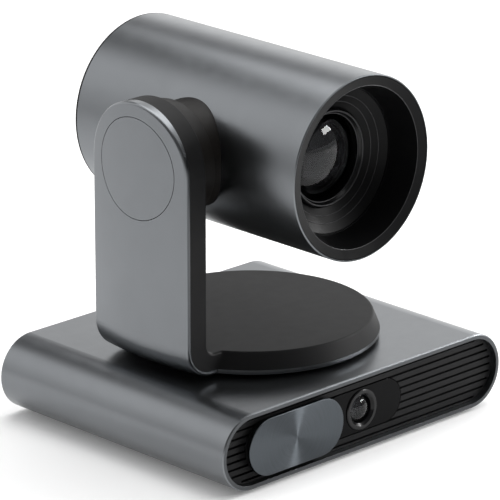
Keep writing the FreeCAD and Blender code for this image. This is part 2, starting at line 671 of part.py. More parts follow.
# --- Pan drive ---
def bearing_pedestal():
    flange_r, flange_thick = PEDESTAL_FLANGE
    seat_r, lip_r, foot_bore_r = PAN_RACE_R[1], PAN_RACE_R[1] - 1, 10.0
    low, high = PAN_RACE_Z
    profile = [(foot_bore_r, CHASSIS_TOP), (flange_r, CHASSIS_TOP), (flange_r, CHASSIS_TOP + flange_thick),
               (PEDESTAL_R, CHASSIS_TOP + flange_thick), (PEDESTAL_R, PEDESTAL_TOP), (seat_r, PEDESTAL_TOP),
               (seat_r, high), (lip_r, high), (lip_r, low + PAN_RACE_TALL), (seat_r, low + PAN_RACE_TALL),
               (seat_r, low), (foot_bore_r, low)]
    return [turned("z", profile)]


def pan_bearing_outer_races():
    solids = []
    for z in PAN_RACE_Z:
        solids += outer_race("z", PAN_RACE_R, (z, z + PAN_RACE_TALL), PAN_BALL_R, PAN_BALLS)
    return solids


def pan_bearing_inner_races():
    return [inner_race("z", PAN_RACE_R, (z, z + PAN_RACE_TALL), PAN_BALL_R) for z in PAN_RACE_Z]


def pan_shaft():
    profile = [(PAN_SHAFT_BORE_R, PAN_SHAFT_BOTTOM), (PAN_SHAFT_R, PAN_SHAFT_BOTTOM),
               (PAN_SHAFT_R, PAN_PULLEY_Z[1]), (PAN_SHOULDER_R, PAN_PULLEY_Z[1]), (PAN_SHOULDER_R, TRAY_TOP),
               (PAN_FLANGE_R, TRAY_TOP), (PAN_FLANGE_R, FLANGE_TOP), (PAN_SHAFT_BORE_R, FLANGE_TOP)]
    holes = [rod("z", SCREW_R, (TRAY_TOP - 1, FLANGE_TOP + 1), p) for p in pan_screw_places()]
    return [turned("z", profile).cut(Part.makeCompound(holes))]


def pan_screw_places():
    circle_r, count = 13.4, 4
    return [(circle_r * math.cos(a), circle_r * math.sin(a))
            for a in (math.pi * (2 * i + 1) / count for i in range(count))]


def pan_pulley():
    top = (PAN_RACE_Z[1] + PAN_RACE_TALL, PAN_PULLEY_Z[0])
    disc = toothed("z", PAN_PULLEY_R, PAN_PULLEY_TEETH, PAN_PULLEY_Z)
    hub = rod("z", PAN_SHAFT_R + 1.4, top)
    return [fuse_all([disc, hub]).cut(rod("z", PAN_SHAFT_R, (0, BASE_TOP)))]


def motor(axis, wide, span, at, boss_r, boss_tall, shaft_r):
    """A square stepper motor with cut corners, a waist, a round boss and a bore for its shaft."""
    half, corner, waist, cap = wide / 2, 3.5, 0.8, 4.0
    low, high = span
    blank = Part.makeBox(wide, wide, high - low, V(-half, -half, 0))
    blank = blank.makeChamfer(corner, edges_at(blank, lambda b: b.ZLength > cap))
    band = Part.makeBox(wide + 2, wide + 2, high - low - 2 * cap, V(-half - 1, -half - 1, cap))
    inner = 2 * (half - waist)
    band = band.cut(Part.makeBox(inner, inner, high - low, V(waist - half, waist - half, 0)))
    body = blank.cut(band).fuse(Part.makeCylinder(boss_r, boss_tall, V(0, 0, high - low)))
    body = body.cut(Part.makeCylinder(shaft_r, high, V(0, 0, cap)))
    if axis == "z":
        return body.translated(V(at[0], at[1], low))
    return aimed(body, (high, at[0], at[1]), (-1, 0, 0))


def pan_motor():
    boss_r, boss_tall, bore_r = 11.0, 1.0, 2.5 + MOTOR_SHAFT_GAP
    return [motor("z", PAN_MOTOR_WIDE, PAN_MOTOR_Z, PAN_MOTOR_AT, boss_r, boss_tall, bore_r)]


def pinion(axis, radius, teeth, span, shaft_r, shaft_span, at):
    """A small flanged belt pulley in one piece with its motor shaft."""
    flange_r = radius + PULLEY_FLANGE_PROUD
    low = (span[0], span[0] + PULLEY_FLANGE_THICK)
    high = (span[1] - PULLEY_FLANGE_THICK, span[1])
    flanges = [rod(axis, flange_r, s, at) for s in (low, high)]
    return fuse_all([toothed(axis, radius, teeth, span, at), rod(axis, shaft_r, shaft_span, at)] + flanges)


def pan_motor_pulley():
    shaft_span = (PAN_MOTOR_Z[0] + 5, PAN_PULLEY_Z[1] + 1)
    return [pinion("z", PAN_PINION_R, PAN_PINION_TEETH, PAN_PULLEY_Z, 2.5, shaft_span, PAN_MOTOR_AT)]


def pan_belt():
    x, y = PAN_MOTOR_AT
    loop = belt((PAN_PULLEY_R, PAN_PINION_R), math.hypot(x, y), BELT_WIDE)
    loop.rotate(V(0, 0, 0), AXES["z"], math.degrees(math.atan2(y, x)))
    return [loop.translated(V(0, 0, sum(PAN_PULLEY_Z) / 2 - BELT_WIDE / 2))]


# --- Yoke ---
BOW_CENTRE_X = ARM_OUT_X + ARM_BOW_R
YOKE_TOP = TILT_Z + ARM_HALF_WIDE


def bent_slab(out_x, bottom, out_r, in_x, top, in_r, half_wide, bow_r=None):
    """An L-shaped slab: an upright arm at -X, bent into a foot that reaches the pan axis.

    Its outer face is flat, or follows the arm's shallow arc where a bow radius is given.
    """
    high = YOKE_TOP + 1
    bend = V(in_x + in_r, -half_wide, top + in_r)
    back = in_r * math.cos(math.pi / 4)
    bend_ends = bend - V(0, 0, in_r), bend - V(in_r, 0, 0)
    corners = [V(in_x, -half_wide, high), V(out_x, -half_wide, high), V(out_x, -half_wide, bottom),
               V(0, -half_wide, bottom), V(0, -half_wide, top)]
    chain = [bend_ends[1]] + corners + [bend_ends[0]]
    edges = [Part.makeLine(*pair) for pair in zip(chain, chain[1:])]
    edges.append(Part.Arc(bend_ends[0], bend - V(back, 0, back), bend_ends[1]).toShape())
    slab = Part.Face(Part.Wire(edges)).extrude(V(0, 2 * half_wide, 0))
    slab = slab.common(arm_outline(half_wide))
    if bow_r:
        slab = slab.common(bow(bow_r))
    deepest = half_wide ** 2 / ARM_BOW_R
    heel = edges_at(slab, lambda b: b.ZMax < bottom + 0.01 and b.XMax < out_x + deepest
                    and b.YLength > half_wide - 0.01)
    return slab.makeFillet(out_r, heel)


def arm_outline(half_wide):
    """Everything within the arm's front-to-back outline: straight sides and a round top."""
    span = (ARM_OUT_X - 1, 2)
    return box(span, about(0, half_wide), (0, TILT_Z)).fuse(rod("x", half_wide, span, (0, TILT_Z)))


def bow(radius):
    """The inside of the arm's shallow outer arc."""
    return rod("z", radius, (0, YOKE_TOP + 2), (BOW_CENTRE_X, 0))


def yoke_body():
    """The whole outer form of the yoke, with its edges rounded, before it is split and hollowed."""
    slab = bent_slab(ARM_OUT_X, TRAY_BOTTOM, BEND_OUT_R, ARM_IN_X, DISC_TOP, BEND_IN_R, ARM_HALF_WIDE,
                     ARM_BOW_R)
    disc = Part.makeCone(DISC_RIM_R, DISC_TOP_R, DISC_TALL, V(0, 0, TRAY_TOP))
    disc = disc.fuse(rod("z", DISC_RIM_R, (TRAY_BOTTOM, TRAY_TOP)))
    past_heel = box((ARM_OUT_X + BEND_OUT_R + 4, DISC_RIM_R), about(0, DISC_RIM_R), (0, DISC_TOP))
    body = slab.fuse(disc.common(past_heel)).removeSplitter()
    return body.makeFillet(YOKE_EDGE_R, sharp_edges(body, YOKE_SHARP_ANGLE))


def inner_region():
    """The space of the inner shell: everything on the hollow side of the seam."""
    slab = bent_slab(ARM_SPLIT_X, TRAY_TOP, BEND_SPLIT_R, ARM_IN_X + 1, DISC_TOP + 1, BEND_IN_R,
                     ARM_HALF_WIDE + 1)
    return slab.fuse(rod("z", DISC_RIM_R + 1, (TRAY_TOP, DISC_TOP + 1)))


def yoke_cavity():
    top, in_x = DISC_TOP - YOKE_WALL, ARM_IN_X - YOKE_WALL
    slab = bent_slab(ARM_OUT_X + ARM_SKIN, TRAY_TOP, BEND_OUT_R - YOKE_WALL, in_x, top, YOKE_WALL,
                     ARM_HALF_WIDE - YOKE_WALL, ARM_BOW_R - ARM_SKIN)
    return slab.fuse(rod("z", DISC_TOP_R - YOKE_WALL - 0.5, (TRAY_TOP, top)))


def yoke_outer_shell():
    shell = yoke_body().cut(inner_region()).cut(yoke_cavity())
    cuts = [rod("x", CAP_R + CAP_GAP, (ARM_OUT_X - 1, ARM_SPLIT_X + 1), (0, TILT_Z)),
            rod("z", PAN_SHOULDER_R + SLIP, (TRAY_BOTTOM - 1, TRAY_TOP + 1))]
    return [shell.cut(Part.makeCompound(cuts))]


def yoke_inner_shell():
    shell = yoke_body().common(inner_region()).cut(yoke_cavity())
    return [shell.cut(rod("x", TILT_SHAFT_R + 0.5, (FRAME_X[1], ARM_IN_X + 1), (0, TILT_Z)))]


def tilt_cap():
    skirt_deep = 2.4
    span = (ARM_OUT_X - 1, ARM_OUT_X + ARM_SKIN + skirt_deep)
    cap = rod("x", CAP_R, span, (0, TILT_Z)).common(bow(ARM_BOW_R))
    pocket = rod("x", CAP_R - ARM_SKIN, span, (0, TILT_Z)).common(bow(ARM_BOW_R - ARM_SKIN))
    return [cap.cut(pocket)]


def tilt_hub_cover():
    edge = 0.8
    (root_x, end_x), (root_r, end_r) = HUB_COVER_X, HUB_COVER_R
    wall, hole = YOKE_WALL, HUB_COVER_HOLE_R
    profile = [(root_r - wall, root_x), (root_r, root_x), (end_r + edge / 4, end_x - edge),
               (end_r - edge, end_x), (hole, end_x), (hole, end_x - wall), (end_r - wall, end_x - wall)]
    return [turned("x", profile, (0, TILT_Z))]


def yoke_frame():
    plate_z = (FLANGE_TOP, FLANGE_TOP + FRAME_THICK)
    foot = box((FRAME_X[0], FRAME_REACH_X), about(0, FRAME_HALF_WIDE), plate_z)
    arm = box(FRAME_X, about(0, FRAME_HALF_WIDE), (plate_z[0], TILT_Z))
    arm = arm.fuse(rod("x", FRAME_HALF_WIDE, FRAME_X, (0, TILT_Z)))
    frame = foot.fuse(arm).removeSplitter()
    heel = edges_at(frame, lambda b: b.XMax < FRAME_X[0] + 0.01 and b.ZMax < FLANGE_TOP + 0.01
                    and b.YLength > FRAME_HALF_WIDE)
    frame = frame.makeFillet(FRAME_BEND_R, heel)
    foot_deep, arm_deep = (0, DISC_TOP), (FRAME_X[0] - 1, FRAME_X[1] + 1)
    cuts = [rod("z", PAN_SHAFT_BORE_R, foot_deep), rod("x", TILT_SHAFT_BORE_R, arm_deep, (0, TILT_Z))]
    cuts += [rod("z", SCREW_R + SCREW_SLIP, foot_deep, p) for p in pan_screw_places()]
    cuts += [rod("x", SCREW_R + SCREW_SLIP, arm_deep, p) for p in tilt_screw_places()]
    cuts.append(box(arm_deep, about(0, FRAME_HALF_WIDE / 2), FRAME_SLOT_Z))
    return [frame.cut(Part.makeCompound(cuts))]


def tilt_screw_places():
    circle_r, count = 12.5, 3
    return [(circle_r * math.cos(a), TILT_Z + circle_r * math.sin(a))
            for a in (2 * math.pi * i / count + math.pi / 2 for i in range(count))]


def yoke_screws():
    top = FLANGE_TOP + FRAME_THICK
    shank = FRAME_THICK + YOKE_SCREW_BITE
    screws = [low_head_screw((*p, top), (0, 0, -1), shank) for p in pan_screw_places()]
    return screws + [low_head_screw((FRAME_X[0], *p), (1, 0, 0), shank) for p in tilt_screw_places()]


# --- Tilt drive ---
def tilt_shaft():
    flange_x = (FRAME_X[1], FRAME_X[1] + TILT_FLANGE_THICK)
    at = (0, TILT_Z)
    stem = rod("x", TILT_SHAFT_R, (flange_x[0], TILT_SHAFT_END_X), at)
    shaft = fuse_all([rod("x", TILT_FLANGE_R, flange_x, at), stem])
    shaft = shaft.cut(rod("x", TILT_SHAFT_BORE_R, (-80, 0), at))
    holes = [rod("x", SCREW_R, (flange_x[0] - 1, flange_x[1] + 1), p) for p in tilt_screw_places()]
    return [shaft.cut(Part.makeCompound(holes))]


def tilt_pulley():
    at = (0, TILT_Z)
    disc = toothed("x", TILT_PULLEY_R, TILT_PULLEY_TEETH, TILT_PULLEY_X, at)
    return [disc.cut(rod("x", TILT_SHAFT_R, TILT_PULLEY_X, at))]


def tilt_bearing_inner_race():
    return [inner_race("x", TILT_RACE_R, TILT_RACE_X, TILT_BALL_R, (0, TILT_Z))]


def tilt_bearing_outer_race():
    return outer_race("x", TILT_RACE_R, TILT_RACE_X, TILT_BALL_R, TILT_BALLS, (0, TILT_Z))


def head_hub():
    """The saddle ring: round about the tilt axis, hollowed to sit on the barrel, with a boss inside."""
    at = (0, TILT_Z)
    edge = 0.6
    collar = turned("x", [(0, HEAD_HUB_X), (HEAD_HUB_R - edge, HEAD_HUB_X), (HEAD_HUB_R, HEAD_HUB_X + edge),
                          (HEAD_HUB_R, -20), (0, -20)], at)
    collar = collar.cut(rod("y", BARREL_R, about(0, 60), at))
    boss = rod("x", HEAD_BOSS_R, (TILT_RACE_X[0], HEAD_BOSS_END_X), at)
    lip = rod("x", HEAD_LIP_R, (HEAD_HUB_X - 1, TILT_RACE_X[0] + 1), at)
    seat = rod("x", TILT_RACE_R[1], (TILT_RACE_X[0], 0), at)
    return [fuse_all([collar, boss]).cut(lip).cut(seat)]


def tilt_motor():
    at, span = (TILT_MOTOR_Y, TILT_Z), (-TILT_MOTOR_X[1], -TILT_MOTOR_X[0])
    boss_r, boss_tall, bore_r = 9.0, 0.8, 2.0 + MOTOR_SHAFT_GAP
    return [motor("x", TILT_MOTOR_WIDE, span, at, boss_r, boss_tall, bore_r)]


def tilt_motor_pulley():
    at = (TILT_MOTOR_Y, TILT_Z)
    shaft_span = (TILT_PULLEY_X[0] - 0.5, TILT_MOTOR_X[1] - 6)
    return [pinion("x", TILT_PINION_R, TILT_PINION_TEETH, TILT_PULLEY_X, 2.0, shaft_span, at)]


def tilt_belt():
    loop = belt((TILT_PULLEY_R, TILT_PINION_R), TILT_MOTOR_Y, BELT_WIDE)
    loop.rotate(V(0, 0, 0), AXES["z"], 90)
    loop.rotate(V(0, 0, 0), AXES["y"], 90)
    return [loop.translated(V(sum(TILT_PULLEY_X) / 2 - BELT_WIDE / 2, 0, TILT_Z))]


# --- Camera head: shells ---
def barrel_shell():
    at = (0, TILT_Z)
    rebate_r = HOOD_FLANGE_R + SLIP
    profile = [(BARREL_BORE_R, BARREL_BACK), (BARREL_R, BARREL_BACK), (BARREL_R, BARREL_FRONT + FRONT_EDGE),
               (BARREL_R - FRONT_EDGE, BARREL_FRONT), (rebate_r, BARREL_FRONT),
               (rebate_r, HOOD_FLANGE_BACK_Y), (BARREL_BORE_R, HOOD_FLANGE_BACK_Y)]
    return [turned("y", profile, at).cut(rod("x", HEAD_BOSS_R + SLIP, (-BARREL_R - 1, 0), at))]


def back_cover():
    at = (0, TILT_Z)
    front = BARREL_BACK + BACK_COVER_GAP
    back = front + BACK_COVER_THICK
    cover = rod("y", BARREL_R, (front, back), at)
    cover = cover.makeFillet(BACK_EDGE_R, edges_at(cover, lambda b: b.YMin > back - 0.01))
    spigot = ring("y", (BARREL_BORE_R - 2.5, BARREL_BORE_R - SLIP), (front - 6, front), at)
    return [cover.fuse(spigot).removeSplitter()]


def lens_hood():
    """The black funnel in the barrel's mouth: a flanged lip, a cone, a step, and a floor about the lens."""
    (lip_r, mouth_r), (lip_y, mouth_y) = HOOD_LIP_R, HOOD_LIP_Y
    throat_r, throat_y, step = HOOD_THROAT_R, HOOD_THROAT_Y, HOOD_THROAT_STEP
    outer_r = BARREL_BORE_R - SLIP
    inside = [(lip_r, lip_y), (mouth_r, mouth_y), (throat_r + step, throat_y - step),
              (throat_r, throat_y - step), (throat_r, throat_y), (HOOD_SHELF_R, HOOD_SHELF_Y)]
    outside = [(HOOD_SHELF_R, HOOD_SHELF_Y + HOOD_WALL), (throat_r + HOOD_WALL, throat_y + HOOD_WALL),
               (outer_r, mouth_y + 2 * HOOD_WALL), (outer_r, HOOD_FLANGE_BACK_Y),
               (HOOD_FLANGE_R, HOOD_FLANGE_BACK_Y), (HOOD_FLANGE_R, lip_y + HOOD_FLANGE_R - lip_r)]
    return [turned("y", inside + outside, (0, TILT_Z))]


# --- Camera head: lens block ---
def front_element():
    apex, dome_r = FRONT_GLASS_APEX_Y, FRONT_GLASS_DOME_R
    dome = Part.makeSphere(dome_r, V(0, apex + dome_r, TILT_Z))
    return [dome.common(rod("y", FRONT_GLASS_R, (apex - 1, FRONT_GLASS_BACK_Y), (0, TILT_Z)))]


def lens_front_ring():
    outer, inner = LENS_RING_R
    front, back = LENS_RING_Y
    lip = 0.7
    profile = [(inner, back), (outer, back), (outer, front + lip), (LENS_SPLIT_R, front),
               (inner, front + 2 * lip)]
    return [turned("y", profile, (0, TILT_Z))]


def lens_housing():
    half, wall = HOUSING_HALF, HOUSING_WALL
    front, back = HOUSING_Y
    block = box(about(0, half), (front, back), about(TILT_Z, half))
    block = block.makeFillet(wall, edges_at(block, lambda b: b.YLength > back - front - 1))
    inside = box(about(0, half - wall), (front + wall, back + 1), about(TILT_Z, half - wall))
    holes = [rod("y", HOUSING_WINDOW_R, (front - 1, front + wall + 1), (0, TILT_Z))]
    holes += [rod("y", ROD_R + ROD_FIT, (front + 1, front + wall + 1), p) for p in rod_places()]
    return [block.cut(inside).cut(Part.makeCompound(holes))]


def rod_places():
    return [(s * ROD_OFFSET, TILT_Z + s * ROD_OFFSET) for s in (-1, 1)]


def guide_rods():
    return [rod("y", ROD_R, (HOUSING_Y[0] + 1.2, HOUSING_Y[1]), p) for p in rod_places()]


def carriage(y):
    """A square lens carrier that slides on the two guide rods."""
    plate = box(about(0, CARRIAGE_HALF), (y, y + CARRIAGE_THICK), about(TILT_Z, CARRIAGE_HALF))
    cuts = [rod("y", ROD_R + ROD_FIT, (y - 1, y + CARRIAGE_THICK + 1), p) for p in rod_places()]
    return plate.cut(Part.makeCompound(cuts))


def zoom_carriage():
    hole = rod("y", GROUP_LENS_R[0], (-60, 60), (0, TILT_Z))
    return [carriage(ZOOM_CARRIAGE_Y).cut(hole)]


def focus_carriage():
    hole = rod("y", GROUP_LENS_R[1], (-60, 60), (0, TILT_Z))
    return [carriage(FOCUS_CARRIAGE_Y).cut(hole)]


def group_lens(radius, carriage_y, dome_r):
    """A double-curved lens held in the middle of its carriage."""
    middle = carriage_y + CARRIAGE_THICK / 2
    reach = dome_r - GROUP_LENS_THICK / 2
    first = Part.makeSphere(dome_r, V(0, middle + reach, TILT_Z))
    second = Part.makeSphere(dome_r, V(0, middle - reach, TILT_Z))
    return [first.common(second).common(rod("y", radius, (-60, 60), (0, TILT_Z)))]


def zoom_lens():
    return group_lens(GROUP_LENS_R[0], ZOOM_CARRIAGE_Y, 60.0)


def focus_lens():
    return group_lens(GROUP_LENS_R[1], FOCUS_CARRIAGE_Y, 30.0)


def lens_motors():
    height = TILT_Z + HOUSING_HALF + LENS_MOTOR_R
    nose = (LENS_MOTOR_Y[1], LENS_MOTOR_Y[1] + 4)
    solids = []
    for x in (-LENS_MOTOR_X, LENS_MOTOR_X):
        body = rod("y", LENS_MOTOR_R, LENS_MOTOR_Y, (x, height))
        solids.append(fuse_all([body, rod("y", LENS_MOTOR_R / 2, nose, (x, height))]))
    return solids


def sensor_board():
    y = HOUSING_Y[1]
    board = box(about(0, HOUSING_HALF - 0.5), (y, y + BOARD_THICK), about(TILT_Z, HOUSING_HALF - 0.5))
    chip = box(about(0, SENSOR_HALF[0]), (y - 1.5, y), about(TILT_Z, SENSOR_HALF[1]))
    return [board, chip]


def head_cradle():
    """The plate that carries the lens block and the tilt motor, on two ribs along the barrel."""
    top = TILT_Z - HOUSING_HALF
    plate = box(about(0, CRADLE_HALF_WIDE), CRADLE_Y, (top - CRADLE_THICK, top))
    rib_floor = TILT_Z - math.sqrt((BARREL_BORE_R - SLIP) ** 2 - (CRADLE_RIB_X + 1) ** 2)
    ribs = [box(about(s * CRADLE_RIB_X, 1), CRADLE_Y, (rib_floor, top - CRADLE_THICK)) for s in (-1, 1)]
    saddle = box((TILT_MOTOR_X[0] + 1, TILT_MOTOR_X[1] - 1), about(TILT_MOTOR_Y, 9),
                 (top, TILT_Z - TILT_MOTOR_WIDE / 2))
    return [fuse_all([plate, saddle] + ribs)]


SUB_PARTS = [
    base_shell, rubber_feet, base_chassis, tripod_insert, bracket_inserts, base_screws, front_grille,
    window_panel, badge_pedestal, badge_plate, overview_lens_ring, overview_lens_glass, overview_lens_barrel,
    overview_camera_board, microphone_boards, main_board, io_board, rear_panel, power_jack, hdmi_port,
    usb_port, lan_port, audio_jack, reset_button, bearing_pedestal, pan_bearing_outer_races,
    pan_bearing_inner_races, pan_shaft, pan_pulley, pan_motor, pan_motor_pulley, pan_belt,
    yoke_outer_shell, yoke_inner_shell, tilt_cap, tilt_hub_cover, yoke_frame, yoke_screws, tilt_shaft,
    tilt_pulley, tilt_bearing_inner_race, tilt_bearing_outer_race, head_hub, tilt_motor, tilt_motor_pulley,
    tilt_belt, barrel_shell, back_cover, lens_hood, front_element, lens_front_ring, lens_housing,
    guide_rods, zoom_carriage, zoom_lens, focus_carriage, focus_lens, lens_motors, sensor_board, head_cradle,
]


def main():
    os.makedirs("parts", exist_ok=True)
    for sub_part in SUB_PARTS:
        solids = sub_part()
        shape = solids[0] if len(solids) == 1 else Part.makeCompound(solids)
        shape.exportStep(os.path.join("parts", sub_part.__name__ + ".step"))


main()
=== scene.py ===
"""Looks of the pan-tilt-zoom camera: materials, lens and socket details, floor, light and camera."""

import json
import math

import bmesh
import bpy
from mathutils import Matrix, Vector


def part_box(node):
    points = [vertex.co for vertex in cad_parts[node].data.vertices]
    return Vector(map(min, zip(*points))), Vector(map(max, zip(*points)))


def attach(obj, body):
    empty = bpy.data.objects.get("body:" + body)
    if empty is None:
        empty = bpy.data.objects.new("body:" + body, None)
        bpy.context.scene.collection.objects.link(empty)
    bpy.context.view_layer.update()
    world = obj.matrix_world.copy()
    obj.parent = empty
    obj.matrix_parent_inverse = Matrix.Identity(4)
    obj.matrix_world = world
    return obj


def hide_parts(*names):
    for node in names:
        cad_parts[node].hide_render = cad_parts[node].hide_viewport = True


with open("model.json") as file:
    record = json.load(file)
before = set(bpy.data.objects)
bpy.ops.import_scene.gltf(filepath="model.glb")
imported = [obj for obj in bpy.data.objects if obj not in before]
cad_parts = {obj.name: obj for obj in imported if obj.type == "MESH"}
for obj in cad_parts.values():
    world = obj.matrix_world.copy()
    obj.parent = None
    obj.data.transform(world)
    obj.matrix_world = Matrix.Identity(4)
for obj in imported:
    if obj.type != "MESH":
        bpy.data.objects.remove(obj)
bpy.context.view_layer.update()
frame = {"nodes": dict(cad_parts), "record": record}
MM = 0.001


# --- Node tree helpers ---
def new_tree(name):
    """A material with an empty Principled surface: (material, tree, shader)."""
    mat = bpy.data.materials.new(name)
    mat.use_nodes = True
    return mat, mat.node_tree, mat.node_tree.nodes["Principled BSDF"]


def node(tree, kind, **values):
    """A node with attributes or, where the name is a socket's, input values set."""
    made = tree.nodes.new(kind)
    for key, value in values.items():
        if key in made.inputs:
            made.inputs[key].default_value = value
        else:
            setattr(made, key, value)
    return made


def object_noise(tree, scale, detail=2.0):
    """Noise fixed to the object's own metres."""
    coords = node(tree, "ShaderNodeTexCoord")
    noise = node(tree, "ShaderNodeTexNoise", Scale=scale, Detail=detail)
    tree.links.new(coords.outputs["Object"], noise.inputs["Vector"])
    return noise.outputs["Fac"]


def spread(tree, fac, low, high):
    """Maps a noise's middle range onto low to high."""
    mapped = node(tree, "ShaderNodeMapRange")
    mapped.inputs["From Min"].default_value = 0.3
    mapped.inputs["From Max"].default_value = 0.7
    mapped.inputs["To Min"].default_value = low
    mapped.inputs["To Max"].default_value = high
    tree.links.new(fac, mapped.inputs["Value"])
    return mapped.outputs["Result"]


def tinted(tree, fac, dark, light):
    """A colour that drifts between two tones."""
    mix = node(tree, "ShaderNodeMix", data_type="RGBA")
    mix.inputs[6].default_value = (*dark, 1)
    mix.inputs[7].default_value = (*light, 1)
    tree.links.new(fac, mix.inputs[0])
    return mix.outputs[2]


def surface(name, colour, roughness, metallic=0.0, grain=0.25, depth=0.01, drift=0.06, rough_drift=0.04,
            edge=0.12, **constants):
    """A moulded, cast or painted surface.

    Sizes are in millimetres: grain is the size of the fine texture, depth its height, edge the radius that
    catches light on hard corners. Colour and roughness drift slowly across the part. The constants are
    further shader inputs, with _ for a space.
    """
    mat, tree, shader = new_tree(name)
    cloud = object_noise(tree, 28.0, 3.0)
    dark = [c * (1 - drift) for c in colour]
    light = [min(1.0, c * (1 + drift)) for c in colour]
    tree.links.new(tinted(tree, spread(tree, cloud, 0, 1), dark, light), shader.inputs["Base Color"])
    fine = object_noise(tree, 1 / (grain * MM))
    patch = object_noise(tree, 160.0, 4.0)
    rough = spread(tree, patch, roughness - rough_drift, roughness + rough_drift)
    tree.links.new(rough, shader.inputs["Roughness"])
    rounded = node(tree, "ShaderNodeBevel", samples=4)
    rounded.inputs["Radius"].default_value = edge * MM
    bump = node(tree, "ShaderNodeBump", Strength=1.0)
    bump.inputs["Distance"].default_value = depth * MM
    tree.links.new(fine, bump.inputs["Height"])
    tree.links.new(rounded.outputs["Normal"], bump.inputs["Normal"])
    tree.links.new(bump.outputs["Normal"], shader.inputs["Normal"])
    shader.inputs["Metallic"].default_value = metallic
    for key, value in constants.items():
        shader.inputs[key.replace("_", " ")].default_value = value
    return mat


def paint_front_shade(mat, factor):
    """Painted shade: darkens the base colour of the faces that look forward (-Y), where the front of the
    shell falls darker in the light.
    """
    tree = mat.node_tree
    shader = tree.nodes["Principled BSDF"]
    coords = node(tree, "ShaderNodeTexCoord")
    split = node(tree, "ShaderNodeSeparateXYZ")
    tree.links.new(coords.outputs["Normal"], split.inputs[0])
    level = node(tree, "ShaderNodeMapRange")
    level.inputs["From Min"].default_value = -0.75
    level.inputs["From Max"].default_value = -0.95
    level.inputs["To Min"].default_value = 1.0
    level.inputs["To Max"].default_value = factor
    tree.links.new(split.outputs["Y"], level.inputs["Value"])
    scale = node(tree, "ShaderNodeVectorMath", operation="SCALE")
    tree.links.new(shader.inputs["Base Color"].links[0].from_socket, scale.inputs[0])
    tree.links.new(level.outputs["Result"], scale.inputs["Scale"])
    tree.links.new(scale.outputs[0], shader.inputs["Base Color"])
    return mat


def coated_glass(name, tint, ior):
    """Polished lens glass that reflects little, with a faint drift in its tint."""
    mat, tree, shader = new_tree(name)
    cloud = spread(tree, object_noise(tree, 90.0, 3.0), 0, 1)
    tree.links.new(tinted(tree, cloud, [c * 0.93 for c in tint], tint), shader.inputs["Base Color"])
    for key, value in {"Roughness": 0.0, "Transmission Weight": 1.0, "IOR": ior}.items():
        shader.inputs[key].default_value = value
    return mat


def spun_metal(name, colour, roughness, centre, rings_mm):
    """Metal brushed in circles, rings_mm apart, about a centre on a face that looks along Y."""
    mat, tree, shader = new_tree(name)
    link = tree.links.new
    coords = node(tree, "ShaderNodeTexCoord")
    offset = node(tree, "ShaderNodeVectorMath", operation="SUBTRACT")
    offset.inputs[1].default_value = centre
    link(coords.outputs["Object"], offset.inputs[0])
    flat = node(tree, "ShaderNodeVectorMath", operation="MULTIPLY")
    flat.inputs[1].default_value = (1, 0, 1)
    link(offset.outputs[0], flat.inputs[0])
    radial = node(tree, "ShaderNodeVectorMath", operation="NORMALIZE")
    link(flat.outputs[0], radial.inputs[0])
    link(radial.outputs[0], shader.inputs["Tangent"])
    reach = node(tree, "ShaderNodeVectorMath", operation="LENGTH")
    link(flat.outputs[0], reach.inputs[0])
    split = node(tree, "ShaderNodeSeparateXYZ")
    link(radial.outputs[0], split.inputs[0])
    polar = node(tree, "ShaderNodeCombineXYZ")
    rings = node(tree, "ShaderNodeMath", operation="MULTIPLY")
    rings.inputs[1].default_value = 1.0 / (rings_mm * MM)
    link(reach.outputs["Value"], rings.inputs[0])
    link(rings.outputs[0], polar.inputs["X"])
    link(split.outputs["X"], polar.inputs["Y"])
    link(split.outputs["Z"], polar.inputs["Z"])
    lines = node(tree, "ShaderNodeTexNoise", Scale=1.0, Detail=3.0)
    link(polar.outputs[0], lines.inputs["Vector"])
    dark, light = [c * 0.85 for c in colour], [c * 1.12 for c in colour]
    link(tinted(tree, spread(tree, lines.outputs["Fac"], 0, 1), dark, light), shader.inputs["Base Color"])
    link(spread(tree, lines.outputs["Fac"], roughness * 0.85, roughness * 1.15), shader.inputs["Roughness"])
    bump = node(tree, "ShaderNodeBump", Strength=1.0)
    bump.inputs["Distance"].default_value = 0.0004 * MM
    link(lines.outputs["Fac"], bump.inputs["Height"])
    link(bump.outputs["Normal"], shader.inputs["Normal"])
    shader.inputs["Metallic"].default_value = 1.0
    shader.inputs["Anisotropic"].default_value = 0.95
    return mat


# --- Materials ---
BADGE_LOW, BADGE_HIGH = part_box("badge_plate")
BADGE_CENTRE = [(a + b) / 2 for a, b in zip(BADGE_LOW, BADGE_HIGH)]

